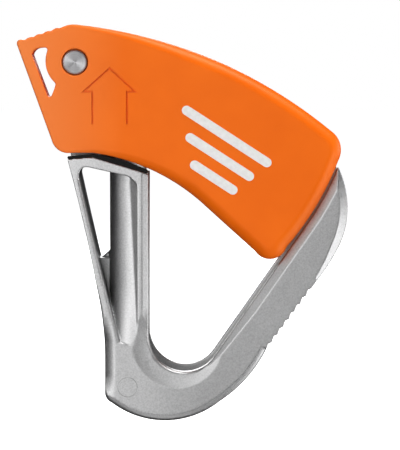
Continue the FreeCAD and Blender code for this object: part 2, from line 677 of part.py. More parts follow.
def build_tooth_plate():
    """Curved plate in the channel, with rows of teeth that point in and down, and a slot that clears ice."""
    outer, inner = TOOTH_SEAT_RADIUS, TOOTH_SEAT_RADIUS - S["tooth_plate_thick"]
    body = new_body("plate_blank")
    corners = [polar(CHANNEL, r, a) for r, a in ((outer, 121), (outer, 239), (inner, 239), (inner, 121))]
    path = [corners[0], ("arc", (CHANNEL[0] - outer, 0), corners[1]), corners[2]]
    path += [("arc", (CHANNEL[0] - inner, 0), corners[3]), corners[0]]
    profile = sketch(body, "XY_Plane", "plate_blank_outline", S["tooth_plate_low"] + 0.05, path)
    feature(body, "Pad", "plate_blank_pad", profile, "sizes.tooth_plate_high - sizes.tooth_plate_low - 0.1")
    teeth = []
    for row in range(6):
        z = 38.2 + row * 2.1
        for angle in (-44, -29, 29, 44) if row in (0, 5) else (-51, -37, -22, 22, 37, 51):
            way = V(math.cos(math.radians(angle)), math.sin(math.radians(angle)), 0)
            base = V(CHANNEL[0], 0, z) - way * (inner + 0.3)
            teeth.append(Part.makeCone(0.6, 0.08, 1.5, base, way + V(0, 0, -0.35)))
    tooth_piece = shape_piece("teeth", teeth[0].fuse(teeth[1:]))
    slot = doc.addObject("Part::Box", "plate_slot")
    slot.Length = 6
    slot.setExpression("Width", "sizes.cleaning_slot_wide")
    slot.setExpression("Height", "sizes.cleaning_slot_tall")
    slot.Placement = FreeCAD.Placement(V(-17, -S["cleaning_slot_wide"] / 2, CLEANING_LOW), FreeCAD.Rotation())
    holes = [cylinder(f"plate_hole_{i}", "sizes.rivet_radius", "6", -17.0, 0, z, "x")
             for i, z in enumerate(RIVET_HEIGHTS)]
    plate = cut("plate_cut", joined("plate_joined", [body, tooth_piece]), joined("plate_tools", [slot] + holes))
    plate.Label = "toothed_insert"
    return plate


def build_rivets():
    """Two blind rivets that hold the tooth plate; they are separate solids of one piece file."""
    face = CHANNEL[0] - TOOTH_SEAT_RADIUS + S["tooth_plate_thick"]
    rivets = []
    for z in RIVET_HEIGHTS:
        shank = Part.makeCylinder(S["rivet_radius"], face + 17.0, V(-17.0, 0, z), V(1, 0, 0))
        head = Part.makeCylinder(S["rivet_head_radius"], 0.45, V(face + 0.16, 0, z), V(1, 0, 0))
        neck = Part.makeCylinder(S["rivet_radius"], 0.3, V(face - 0.1, 0, z), V(1, 0, 0))
        rivets.append(shank.fuse([head, neck]).removeSplitter())
    return shape_piece("insert_rivets", Part.makeCompound(rivets))


def build_stop_pad():
    """Thin soft strip on the leg's shoulder, just below the closed arm."""
    up, gap = S["pad_thick"], S["pad_gap"]
    right, knee, left = (-7.7, 32.79), SHOULDER[1], (-23.2, 35.62)
    path = [right, knee, left, ("arc", (left[0] - up / 2, left[1] + up / 2), (left[0], left[1] + up))]
    path += [(knee[0], knee[1] + up), ("arc", on_crown(LOW_EDGE, -13.0, gap), on_crown(LOW_EDGE, right[0], gap))]
    path += [("arc", (right[0] + up / 2, right[1] + up / 2), right)]
    return slab("stop_pad", path, 0.1 - HALF, "sizes.pad_deep")


def build_pieces():
    return [
        build_frame(),
        build_tooth_plate(),
        build_rivets(),
        build_stop_pad(),
        build_axle(),
        build_washer("pivot_washer", "sizes.washer_radius", "sizes.washer_thick", -1.62),
        build_washer("axle_rear_washer", "sizes.rear_washer_radius", "sizes.rear_washer_thick", S["lug_rear"]),
        build_spring(),
        build_arm_shell(),
        build_arm_cover(),
    ]


pieces = build_pieces()
doc.recompute()
failed = [thing.Name for thing in doc.Objects if {"Invalid", "Error"} & set(thing.State)]
if failed:
    raise SystemExit(f"these objects did not compute: {failed}")
os.makedirs("parts", exist_ok=True)
for piece in pieces:
    shape = piece.Shape
    if shape.isNull() or not shape.isValid():
        raise SystemExit(f"{piece.Label} has no valid shape")
    shape.exportStep(f"parts/{piece.Label}.step")
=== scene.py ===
"""Ascender: looks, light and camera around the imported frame.

Lengths are in metres, in the part's own frame. Outlines are in millimetres, as points (x, z).
"""

import json
import math

import bmesh
import bpy
import numpy as np
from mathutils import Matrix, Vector

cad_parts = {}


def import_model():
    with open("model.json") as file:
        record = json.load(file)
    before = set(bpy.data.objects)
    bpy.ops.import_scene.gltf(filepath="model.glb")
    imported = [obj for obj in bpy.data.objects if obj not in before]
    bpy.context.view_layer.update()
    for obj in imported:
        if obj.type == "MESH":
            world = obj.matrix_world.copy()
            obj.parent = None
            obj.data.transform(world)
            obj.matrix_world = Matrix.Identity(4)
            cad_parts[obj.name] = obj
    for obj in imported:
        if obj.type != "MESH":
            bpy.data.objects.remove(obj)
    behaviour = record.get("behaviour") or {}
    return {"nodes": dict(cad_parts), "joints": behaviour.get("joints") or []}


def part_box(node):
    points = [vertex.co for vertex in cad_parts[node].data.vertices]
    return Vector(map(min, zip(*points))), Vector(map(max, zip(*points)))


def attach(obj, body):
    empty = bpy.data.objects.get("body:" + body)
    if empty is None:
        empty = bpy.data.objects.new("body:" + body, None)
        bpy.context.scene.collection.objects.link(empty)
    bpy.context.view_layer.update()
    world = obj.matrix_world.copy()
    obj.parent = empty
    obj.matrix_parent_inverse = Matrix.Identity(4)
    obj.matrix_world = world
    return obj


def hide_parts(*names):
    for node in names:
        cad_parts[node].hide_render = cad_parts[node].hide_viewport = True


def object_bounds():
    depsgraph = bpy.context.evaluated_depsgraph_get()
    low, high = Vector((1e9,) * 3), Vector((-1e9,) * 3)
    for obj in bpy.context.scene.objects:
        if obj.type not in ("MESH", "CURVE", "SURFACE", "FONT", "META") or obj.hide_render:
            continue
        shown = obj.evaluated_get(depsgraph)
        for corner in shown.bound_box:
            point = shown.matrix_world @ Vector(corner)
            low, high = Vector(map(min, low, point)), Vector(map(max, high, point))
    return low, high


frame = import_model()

CAD_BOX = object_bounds()
MM = 0.001
NODES = frame["nodes"]
AXLE = Vector(frame["joints"][0]["pos_m"])
AXLE_MM = (AXLE.x / MM, AXLE.z / MM)
ARM_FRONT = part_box("arm_shell")[0].y
ARM_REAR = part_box("arm_rear_cover")[1].y
FRAME_FRONT, FRAME_REAR = (corner.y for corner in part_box("frame_body"))


# ---------------------------------------------------------------- node helpers

def new_material(name):
    """Material with an empty Principled tree. Gives the material, its tree and its shader node."""
    material = bpy.data.materials.new(name)
    material.use_nodes = True
    tree = material.node_tree
    shader = tree.nodes["Principled BSDF"]
    return material, tree, shader


def add(tree, kind, inputs=None, **settings):
    """Adds a node, sets its properties, and sets or links its inputs."""
    node = tree.nodes.new(kind)
    for key, value in settings.items():
        setattr(node, key, value)
    for key, value in (inputs or {}).items():
        socket = node.inputs[key]
        if isinstance(value, bpy.types.NodeSocket):
            tree.links.new(value, socket)
        else:
            socket.default_value = value
    return node


def position(tree):
    """Object coordinates, which stay with the piece as it moves."""
    return add(tree, "ShaderNodeTexCoord").outputs["Object"]


def noise(tree, size, detail=2.0, roughness=0.5, stretch=None):
    """Noise with features of about that size, in metres. Output near 0.5."""
    where = position(tree)
    if stretch:
        where = add(tree, "ShaderNodeMapping", {"Vector": where, "Scale": stretch}).outputs["Vector"]
    settings = {"Vector": where, "Scale": 1 / size, "Detail": detail, "Roughness": roughness}
    return add(tree, "ShaderNodeTexNoise", settings).outputs["Fac"]


def spread(tree, value, low, high, start=0.3, stop=0.7):
    """Maps a value from start..stop to low..high, clamped."""
    settings = {"Value": value, "From Min": start, "From Max": stop, "To Min": low, "To Max": high}
    return add(tree, "ShaderNodeMapRange", settings).outputs["Result"]


def tint(tree, factor, dark, light):
    """Colour between dark and light by a factor of 0 to 1."""
    node = add(tree, "ShaderNodeMix", data_type="RGBA")
    tree.links.new(factor, node.inputs["Factor"])
    node.inputs["A"].default_value = (*dark, 1)
    node.inputs["B"].default_value = (*light, 1)
    return node.outputs["Result"]


def product(tree, colour, *others):
    """Colour multiplied by others."""
    for other in others:
        node = add(tree, "ShaderNodeMix", data_type="RGBA", blend_type="MULTIPLY")
        node.inputs["Factor"].default_value = 1.0
        tree.links.new(colour, node.inputs["A"])
        tree.links.new(other, node.inputs["B"])
        colour = node.outputs["Result"]
    return colour


def bump(tree, shader, layers):
    """Adds bump layers to a shader: each is (height, strength, distance in metres)."""
    normal = None
    for height, strength, distance in layers:
        node = add(tree, "ShaderNodeBump", {"Height": height, "Strength": strength, "Distance": distance})
        if normal:
            tree.links.new(normal, node.inputs["Normal"])
        normal = node.outputs["Normal"]
    tree.links.new(normal, shader.inputs["Normal"])


# ---------------------------------------------------------------- materials

def alloy():
    """Cast aluminium, blasted matt: fine glinting grain, with painted light that makes it brighter to the
    left, and painted shade that makes it darker in its recesses.
    """
    material, tree, shader = new_material("frame_alloy")
    grain = noise(tree, 0.3 * MM, detail=3)
    tone = noise(tree, 14 * MM, detail=2)
    base = tint(tree, spread(tree, grain, 0, 1), (0.36, 0.36, 0.362), (0.50, 0.50, 0.503))
    where = add(tree, "ShaderNodeSeparateXYZ", {"Vector": position(tree)})
    from_middle = add(tree, "ShaderNodeMath", {0: where.outputs["Y"]}, operation="ABSOLUTE").outputs["Value"]
    cloudy = tint(tree, spread(tree, tone, 0, 1), (0.93, 0.93, 0.93), (1, 1, 1))
    # Painted light: the colour is made up to 1.2 times brighter towards the left, standing in for the light
    # falling more strongly there.
    to_left = spread(tree, where.outputs["X"], 1, 0, -9 * MM, 4 * MM)
    painted_light_left = tint(tree, to_left, (0.96, 0.96, 0.96), (1.2, 1.2, 1.2))
    # Painted shade: the colour is halved near the middle of the thickness, in recesses and inner walls,
    # standing in for the shade that falls there.
    painted_recess_shade = tint(tree, spread(tree, from_middle, 0, 1, 3.2 * MM, 6.2 * MM), (0.5, 0.5, 0.5), (1, 1, 1))
    tree.links.new(product(tree, base, cloudy, painted_light_left, painted_recess_shade), shader.inputs["Base Color"])
    tree.links.new(spread(tree, grain, 0.36, 0.5), shader.inputs["Roughness"])
    shader.inputs["Metallic"].default_value = 1.0
    bump(tree, shader, [(noise(tree, 0.22 * MM, detail=2), 0.3, 0.03 * MM),
                        (noise(tree, 1.6 * MM, detail=3), 0.12, 0.08 * MM)])
    return material


def nylon():
    """Orange moulded nylon: fine spark-eroded grain, and a painted sheen that lightens it towards the thumb
    end.
    """
    material, tree, shader = new_material("orange_nylon")
    grain = noise(tree, 0.25 * MM, detail=2)
    tone = noise(tree, 11 * MM, detail=2)
    across = add(tree, "ShaderNodeSeparateXYZ", {"Vector": position(tree)}).outputs["X"]
    orange = tint(tree, spread(tree, tone, 0, 1), (0.90, 0.136, 0.002), (0.96, 0.155, 0.003))
    # Painted sheen: the colour is lightened towards the thumb end, standing in for a soft reflection of the
    # light there.
    painted_sheen = add(tree, "ShaderNodeMix", data_type="RGBA")
    tree.links.new(spread(tree, across, 1, 0, -32 * MM, -12 * MM), painted_sheen.inputs["Factor"])
    tree.links.new(orange, painted_sheen.inputs["A"])
    painted_sheen.inputs["B"].default_value = (0.96, 0.23, 0.05, 1)
    tree.links.new(painted_sheen.outputs["Result"], shader.inputs["Base Color"])
    tree.links.new(spread(tree, grain, 0.36, 0.46), shader.inputs["Roughness"])
    shader.inputs["Specular IOR Level"].default_value = 0.35
    shader.inputs["Specular Tint"].default_value = (1.0, 0.8, 0.4, 1)
    bump(tree, shader, [(grain, 0.2, 0.03 * MM)])
    return material


def print_white():
    """White pad print: thin ink that lets a little of the nylon through in places."""
    material, tree, shader = new_material("print_white")
    cloud = noise(tree, 0.9 * MM, detail=3)
    tree.links.new(tint(tree, spread(tree, cloud, 0, 1), (0.80, 0.78, 0.77), (0.90, 0.89, 0.88)),
                   shader.inputs["Base Color"])
    tree.links.new(spread(tree, noise(tree, 0.25 * MM), 0.4, 0.55), shader.inputs["Roughness"])
    shader.inputs["Specular IOR Level"].default_value = 0.25
    return material


def turned_steel():
    """Axle steel, turned: fine rings round the axle, which spread light sideways."""
    material, tree, shader = new_material("turned_steel")
    offset = tuple(-c for c in AXLE)
    where = add(tree, "ShaderNodeMapping", {"Vector": position(tree), "Location": offset}).outputs["Vector"]
    flat = add(tree, "ShaderNodeVectorMath", {0: where, 1: (1, 0, 1)}, operation="MULTIPLY").outputs["Vector"]
    reach = add(tree, "ShaderNodeVectorMath", {0: flat}, operation="LENGTH").outputs["Value"]
    settings = {"W": reach, "Scale": 1 / (0.09 * MM), "Detail": 2.0}
    rings = add(tree, "ShaderNodeTexNoise", settings, noise_dimensions="1D").outputs["Fac"]
    tree.links.new(tint(tree, spread(tree, rings, 0, 1), (0.28, 0.28, 0.29), (0.52, 0.52, 0.53)),
                   shader.inputs["Base Color"])
    tree.links.new(spread(tree, noise(tree, 0.5 * MM), 0.40, 0.48), shader.inputs["Roughness"])
    shader.inputs["Metallic"].default_value = 1.0
    shader.inputs["Anisotropic"].default_value = 0.9
    shader.inputs["Anisotropic Rotation"].default_value = 0.25
    tangent = add(tree, "ShaderNodeTangent", direction_type="RADIAL", axis="Y")
    tree.links.new(tangent.outputs["Tangent"], shader.inputs["Tangent"])
    bump(tree, shader, [(rings, 0.1, 0.01 * MM)])
    return material


def pad_elastomer_and_shade():
    """Black elastomer pad with a dull bloom; its near-black colour is also painted shade, for the deep shade
    in the gap under the arm.
    """
    material, tree, shader = new_material("black_rubber")
    cloud = noise(tree, 0.8 * MM, detail=3)
    # Painted shade: besides the pad's own black, the near-black stands in for the shade in the gap between
    # the arm and the frame's shoulder.
    tree.links.new(tint(tree, spread(tree, cloud, 0, 1), (0.003, 0.003, 0.003), (0.010, 0.010, 0.010)),
                   shader.inputs["Base Color"])
    tree.links.new(spread(tree, cloud, 0.5, 0.7), shader.inputs["Roughness"])
    shader.inputs["Specular IOR Level"].default_value = 0.15
    bump(tree, shader, [(noise(tree, 0.2 * MM), 0.2, 0.03 * MM)])
    return material


def steel(name, dark, light, rough_low, rough_high):
    """Bright steel with fine drawn lines and a soft change of roughness."""
    material, tree, shader = new_material(name)
    lines = noise(tree, 0.12 * MM, detail=2, stretch=(1, 0.15, 1))
    tree.links.new(tint(tree, spread(tree, lines, 0, 1), dark, light), shader.inputs["Base Color"])
    tree.links.new(spread(tree, noise(tree, 0.9 * MM), rough_low, rough_high), shader.inputs["Roughness"])
    shader.inputs["Metallic"].default_value = 1.0
    bump(tree, shader, [(lines, 0.1, 0.02 * MM)])
    return material


def washer_plastic():
    """Dark slippery plastic."""
    material, tree, shader = new_material("washer_plastic")
    cloud = noise(tree, 0.6 * MM)
    tree.links.new(tint(tree, spread(tree, cloud, 0, 1), (0.03, 0.03, 0.03), (0.06, 0.06, 0.06)),
                   shader.inputs["Base Color"])
    tree.links.new(spread(tree, cloud, 0.35, 0.5), shader.inputs["Roughness"])
    return material


def dress(node, material):
    """Gives a CAD node one material."""
    target = NODES[node]
    target.data.materials.clear()
    target.data.materials.append(material)


# ---------------------------------------------------------------- outlines, in millimetres

def polar(centre, radius, degrees):
    """Point at a radius and an angle round a centre."""
    turn = math.radians(degrees)
    return (centre[0] + radius * math.cos(turn), centre[1] + radius * math.sin(turn))


def arc_points(a, b, c, count):
    """Points after a, on the arc through a, b and c."""
    d = 2 * (a[0] * (b[1] - c[1]) + b[0] * (c[1] - a[1]) + c[0] * (a[1] - b[1]))
    a2, b2, c2 = (p[0] ** 2 + p[1] ** 2 for p in (a, b, c))
    cx = (a2 * (b[1] - c[1]) + b2 * (c[1] - a[1]) + c2 * (a[1] - b[1])) / d
    cz = (a2 * (c[0] - b[0]) + b2 * (a[0] - c[0]) + c2 * (b[0] - a[0])) / d
    radius = math.hypot(a[0] - cx, a[1] - cz)
    first, middle, last = (math.degrees(math.atan2(p[1] - cz, p[0] - cx)) for p in (a, b, c))
    sweep, halfway = (last - first) % 360, (middle - first) % 360
    if halfway > sweep:
        sweep -= 360
    return [polar((cx, cz), radius, first + sweep * i / count) for i in range(1, count + 1)]


def traced(path, count=12):
    """Points of a path, where ("arc", middle, end) draws a three-point arc."""
    points = [path[0]]
    for step in path[1:]:
        if step[0] == "arc":
            points += arc_points(points[-1], step[1], step[2], count)
        else:
            points.append(step)
    return points


# ---------------------------------------------------------------- mesh helpers

def link(made):
    """Puts an object into the scene."""
    bpy.context.scene.collection.objects.link(made)
    return made


def mesh_object(name, shape):
    """Mesh object from a bmesh, with every face turned outwards."""
    mesh = bpy.data.meshes.new(name)
    bmesh.ops.recalc_face_normals(shape, faces=shape.faces)
    shape.to_mesh(mesh)
    shape.free()
    return link(bpy.data.objects.new(name, mesh))


def applied(made):
    """Puts the result of an object's modifiers into its mesh."""
    graph = bpy.context.evaluated_depsgraph_get()
    mesh = bpy.data.meshes.new_from_object(made.evaluated_get(graph))
    made.modifiers.clear()
    made.data = mesh
    return made


def remeshed(node, name, voxel):
    """Copy of a CAD node as an even mesh."""
    made = link(bpy.data.objects.new(name, NODES[node].data.copy()))
    remesh = made.modifiers.new("remesh", "REMESH")
    remesh.mode = "VOXEL"
    remesh.voxel_size = voxel
    return applied(made)


def points_of(made):
    """Vertices of a mesh object as an array, in metres."""
    spots = np.empty(len(made.data.vertices) * 3)
    made.data.vertices.foreach_get("co", spots)
    return spots.reshape(-1, 3)


def set_points(made, spots):
    """Moves the vertices of a mesh object to an array's rows."""
    made.data.vertices.foreach_set("co", spots.ravel())
    made.data.update()


def smoothed(made, rounds, faces):
    """Softens every edge, then thins the mesh to at most that many triangles."""
    smooth = made.modifiers.new("smooth", "SMOOTH")
    smooth.factor = 0.5
    smooth.iterations = rounds
    applied(made)
    thin = made.modifiers.new("thin", "DECIMATE")
    thin.ratio = min(1.0, faces / (2 * len(made.data.polygons)))
    return applied(made)


def finished(made, material, body, slot, *nodes, sharp_from=None):
    """Smooth shading, material, body, and the CAD nodes that the piece stands for.

    Edges that turn by more than sharp_from, in degrees, are kept sharp.
    """
    made.data.materials.clear()
    made.data.materials.append(material)
    made.data.polygons.foreach_set("use_smooth", [True] * len(made.data.polygons))
    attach(made, body)
    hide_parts(*nodes)
    if sharp_from:
        made.data.set_sharp_from_angle(angle=math.radians(sharp_from))


def to_outline(spots, outline):
    """Distance of points (x, z) from a closed outline, and the unit way inwards from the nearest spot."""
    corners = np.array(outline) * MM
    best = np.full(len(spots), 1e9)
    inwards = np.zeros((len(spots), 2))
    area = 0.0
    for a, b in zip(corners, np.roll(corners, -1, axis=0)):
        area += (a[0] * b[1] - b[0] * a[1]) / 2
    turn = 1 if area > 0 else -1
    for a, b in zip(corners, np.roll(corners, -1, axis=0)):
        way = b - a
        size = np.hypot(*way)
        if size < 1e-9:
            continue
        share = np.clip((spots - a) @ way / size ** 2, 0, 1)
        away = spots - (a + share[:, None] * way)
        distance = np.hypot(away[:, 0], away[:, 1])
        nearer = distance < best
        best[nearer] = distance[nearer]
        inwards[nearer] = np.array([-way[1], way[0]]) * turn / size
    return best, inwards


def rounded_rim(made, outline, face, side, radius_at):
    """Rounds the rim between a face and the walls along an outline.

    face is the face's y, one for all or one per vertex. side is 1 if the piece lies behind the face,
    towards +Y, and -1 if it lies before it. radius_at gives the radius, in metres, at points (x, z).
    """
    spots = points_of(made)
    flat = spots[:, [0, 2]]
    gap, inwards = to_outline(flat, outline)
    depth = (spots[:, 1] - face) * side
    radius = radius_at(flat)
    skin = 0.2 * MM
    near = (np.minimum(gap, depth) < skin) & (gap < radius) & (depth < radius) & (radius > skin)
    on_face = near & (depth <= gap)
    on_wall = near & (depth > gap)
    safe = np.maximum(radius, 1e-9)
    angle = np.where(on_face, (1 - gap / safe) * 45, 90 - (1 - depth / safe) * 45)
    angle = np.radians(np.clip(angle, 0, 90))
    new_gap = radius * (1 - np.sin(angle))
    new_depth = radius * (1 - np.cos(angle))
    moved = on_face | on_wall
    step = (new_gap - gap)[:, None] * inwards
    spots[moved, 0] += step[moved, 0]
    spots[moved, 2] += step[moved, 1]
    spots[moved, 1] = (face + side * new_depth)[moved]
    set_points(made, spots)


def right_of(outline, x):
    """The part of an outline to the right of x, closed by a straight side there."""
    kept = []
    for (ax, az), (bx, bz) in zip(outline, outline[1:] + outline[:1]):
        if ax > x:
            kept.append((ax, az))
        if (ax > x) != (bx > x):
            kept.append((x, az + (bz - az) * (x - ax) / (bx - ax)))
    return kept


def stroke(points, width):
    """Closed outline of a line of points drawn with that width."""
    sides = ([], [])
    for i, spot in enumerate(points):
        here = Vector(spot)
        before = Vector(points[max(i - 1, 0)])
        after = Vector(points[min(i + 1, len(points) - 1)])
        ways = [(b - a).normalized() for a, b in ((before, here), (here, after)) if (b - a).length > 0]
        across = sum((Vector((-w.y, w.x)) for w in ways), Vector((0, 0)))
        mitre = len(ways) / across.length_squared if len(ways) == 2 else 1.0
        across = across * mitre * width / 2
        sides[0].append(tuple(here + across))
        sides[1].append(tuple(here - across))
    return sides[0] + sides[1][::-1]


def bar(centre, length, width, degrees):
    """Closed outline of a bar with round ends."""
    turn = math.radians(degrees)
    way = (math.cos(turn), math.sin(turn))
    outline = []
    for sign in (1, -1):
        end = tuple(c + sign * w * (length - width) / 2 for c, w in zip(centre, way))
        start = degrees - 90 + (0 if sign > 0 else 180)
        outline += [polar(end, width / 2, start + 180 * i / 12) for i in range(13)]
    return outline


def prism(name, outline, front, rear):
    """Mesh object of a closed outline, from y = front to y = rear in metres."""
    shape = bmesh.new()
    rings = [[shape.verts.new((x * MM, y, z * MM)) for x, z in outline] for y in (front, rear)]
    shape.faces.new(rings[0])
    shape.faces.new(rings[1][::-1])
    for i in range(len(outline)):
        j = (i + 1) % len(outline)
        shape.faces.new([rings[0][j], rings[0][i], rings[1][i], rings[1][j]])
    return mesh_object(name, shape)


def lathe(name, profile, centre, turns=96):
    """Mesh object of a profile (radius, y), in metres, turned round the axis along Y through a centre."""
    shape = bmesh.new()
    rings = []
    for radius, y in profile:
        if radius < 1e-9:
            rings.append([shape.verts.new((centre.x, y, centre.z))])
            continue
        angles = [2 * math.pi * i / turns for i in range(turns)]
        rings.append([shape.verts.new((centre.x + radius * math.cos(a), y, centre.z + radius * math.sin(a)))
                      for a in angles])
    for low, high in zip(rings, rings[1:]):
        for i in range(turns):
            j = (i + 1) % turns
            if len(low) == 1:
                shape.faces.new([low[0], high[i], high[j]])
            elif len(high) == 1:
                shape.faces.new([low[i], high[0], low[j]])
            else:
                shape.faces.new([low[i], high[i], high[j], low[j]])
    return mesh_object(name, shape)


def engraved(made, tool):
    """Cuts a tool out of a piece and throws the tool away."""
    boolean = made.modifiers.new("engraving", "BOOLEAN")
    boolean.operation = "DIFFERENCE"
    boolean.solver = "MANIFOLD"
    boolean.object = tool
    applied(made)
    bpy.data.objects.remove(tool)


# ---------------------------------------------------------------- the arm

LOW_EDGE_START = (3.1, 27.1)
ARM_END = 56.28
ARM_OUTLINE = traced([
    (-33.4, 58.4), ("arc", (-33.3, 59.25), (-32.5, 59.5)),
    (-24.8, 61.8), ("arc", (-23.16, 62.44), (-21.4, 62.5)),
    ("arc", (-6.6, 59.72), (8.2, 54.45)), ("arc", (19.1, 48.6), (29.4, 41.2)),
    ("arc", (31.2, 38.6), polar(AXLE_MM, ARM_END, -20.5)),
    ("arc", polar(AXLE_MM, ARM_END, -31), polar(AXLE_MM, ARM_END, -41.2)),
    ("arc", (17.7, 15.5), (14.2, 17.0)), LOW_EDGE_START, ("arc", (-6.8, 33.5), (-18.3, 36.9)),
    (-22.6, 36.9), ("arc", (-25.4, 37.6), (-26.6, 39.5)),
])
# Left face of the arm's thick part.
PRESSER_X = -6.5
ARM_VOXEL = 0.2 * MM
COVER_RIM = 1.0 * MM
# The front rim's radius, how much it grows to the right, and where it starts to grow and over which reach.
RIM_RADIUS, RIM_GROWTH = 0.3, 2.2
RIM_FROM, RIM_REACH = -24, 24
ARROW_LEFT, ARROW_RIGHT = -18.4, -11.5
ARROW_FOOT, ARROW_WINGS = 42.7, 49.15
ARROW = [(ARROW_LEFT, ARROW_FOOT), (ARROW_LEFT, ARROW_WINGS), (-20.15, ARROW_WINGS), (-14.95, 53.8),
         (-9.9, ARROW_WINGS), (ARROW_RIGHT, ARROW_WINGS), (ARROW_RIGHT, ARROW_FOOT)]
# Box round the CAD's own arrow: its middle, and half its width and height.
ARROW_MIDDLE = (-15 * MM, 48 * MM)
ARROW_REACH = (7 * MM, 8 * MM)
ENGRAVE_WIDTH = 0.36
ENGRAVE_DEPTH = 0.5 * MM
PRINT_TURN = -33
PRINT_WIDTH = 1.9
# Middle and length of each bar.
PRINT_BARS = [((8.4, 40.2), 21.0), ((7.0, 36.1), 16.0), ((5.8, 32.0), 11.0)]


def arm_rim_at(flat):
    """Radius of the arm's front rim at points (x, z): it grows to the right of the thumb tab."""
    along = np.clip((flat[:, 0] / MM - RIM_FROM) / RIM_REACH, 0, 1)
    return (RIM_RADIUS + RIM_GROWTH * along) * MM


def arm():
    """Orange arm: its rim is rounded, and the arrow is filled and then cut again with crisp edges."""
    made = remeshed("arm_shell", "arm_skin", ARM_VOXEL)
    spots = points_of(made)
    in_arrow = abs(spots[:, 0] - ARROW_MIDDLE[0]) < ARROW_REACH[0]
    in_arrow &= abs(spots[:, 2] - ARROW_MIDDLE[1]) < ARROW_REACH[1]
    groove = in_arrow & (spots[:, 1] < ARM_FRONT + 0.5 * MM)
    spots[groove, 1] = ARM_FRONT
    set_points(made, spots)
    rounded_rim(made, ARM_OUTLINE, ARM_FRONT, 1, arm_rim_at)
    smoothed(made, 4, 150_000)
    line = stroke(ARROW, ENGRAVE_WIDTH)
    engraved(made, prism("arrow_tool", line, ARM_FRONT - 1 * MM, ARM_FRONT + ENGRAVE_DEPTH))
    finished(made, NYLON, "arm", "orange_nylon", "arm_shell", sharp_from=50)


def cover():
    """Back cover of the arm, with a rounded rim."""
    made = remeshed("arm_rear_cover", "arm_cover", ARM_VOXEL)
    outline = right_of(ARM_OUTLINE, PRESSER_X)
    rounded_rim(made, outline, ARM_REAR, -1, lambda flat: np.full(len(flat), COVER_RIM))
    smoothed(made, 4, 50_000)
    finished(made, NYLON, "arm", "orange_nylon", "arm_rear_cover")


def arm_print():
    """Generic print on the arm: three slanted white bars."""
    front, rear = ARM_FRONT - 0.03 * MM, ARM_FRONT + 0.1 * MM
    parts = [prism(f"print_{i}", bar(centre, length, PRINT_WIDTH, PRINT_TURN), front, rear)
             for i, (centre, length) in enumerate(PRINT_BARS)]
    bpy.ops.object.select_all(action="DESELECT")
    for part in parts:
        part.select_set(True)
    bpy.context.view_layer.objects.active = parts[0]
    bpy.ops.object.join()
    made = bpy.context.object
    made.name = "arm_print"
    made.data.materials.append(print_white())
    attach(made, "arm")


# ---------------------------------------------------------------- the frame's casting

FRAME_VOXEL = 0.16 * MM
EYE_RADIUS = 7.25
# The rounded part of the opening's edge, in degrees: its ends, and how far it fades in from them.
EYE_EDGE = (190, 318)
EYE_EDGE_FADE = 25
EYE_EDGE_WIDTH = 1.5
EYE_EDGE_RADIUS = 0.65 * MM
DISH = (-1.5, -1.4)
DISH_REACH = 9.1 * MM
DISH_SLOPE = 2.9 * MM
DISH_DEPTH = 0.55 * MM
# Share of the dish's depth that is filled in its middle.
DISH_FILL = 0.4
LEFT_EDGE = traced([(-16.1, -30), (-16.1, -3.5), ("arc", (-16.6, 3.6), (-17.77, 10.26)), (-20.4, 23.06),
                    (0, 23.06), (0, -30)])
CHANNEL_X = -7.94
CHANNEL_RADIUS = 7.3
OVAL_EXPONENT = 2 / 0.7
RAMP_TOP = 30.8
SHOULDER_TOP = 34
RAMP_END = (-10.3, -2.5)
EJECTOR = Vector((-11.5, 0, -10.3)) * MM
EJECTOR_RADIUS = 1.95 * MM
EJECTOR_LINE = 0.06 * MM


def distance_to(flat, spot):
    """Distance of points (x, z) in metres from a spot in millimetres."""
    return np.hypot(flat[:, 0] - spot[0] * MM, flat[:, 1] - spot[1] * MM)


def dished(made):
    """Makes the dish round the opening flatter towards its middle. Gives its depth at each vertex."""
    spots = points_of(made)
    rise = np.clip((DISH_REACH - distance_to(spots[:, [0, 2]], DISH)) / DISH_SLOPE, 0, 1)
    for face, side in ((FRAME_FRONT, 1), (FRAME_REAR, -1)):
        depth = (spots[:, 1] - face) * side
        inside = (depth > 0) & (depth < DISH_DEPTH * 1.02)
        spots[inside, 1] = (face + side * depth * (1 - DISH_FILL * rise))[inside]
    set_points(made, spots)
    return DISH_DEPTH * rise * (1 - DISH_FILL * rise)


def eye_edge_at(flat):
    """Radius of the opening's edge at points (x, z)."""
    angle = np.degrees(np.arctan2(flat[:, 1], flat[:, 0])) % 360
    share = np.clip(np.minimum(angle - EYE_EDGE[0], EYE_EDGE[1] - angle) / EYE_EDGE_FADE, 0, 1)
    near = distance_to(flat, (0, 0)) < (EYE_RADIUS + EYE_EDGE_WIDTH) * MM
    return np.where(near, EYE_EDGE_RADIUS * share, 0)


def rounded_eye(made, sunk):
    """Rounds the edge of the opening's round bottom, front and rear. sunk is the dish's depth there."""
    ring = range(185, 331, 5)
    outline = [polar((0, 0), EYE_RADIUS, a) for a in ring]
    outline += [polar((0, 0), EYE_RADIUS + 5, a) for a in ring[::-1]]
    rounded_rim(made, outline, FRAME_FRONT + sunk, 1, eye_edge_at)
    rounded_rim(made, outline, FRAME_REAR - sunk, -1, eye_edge_at)


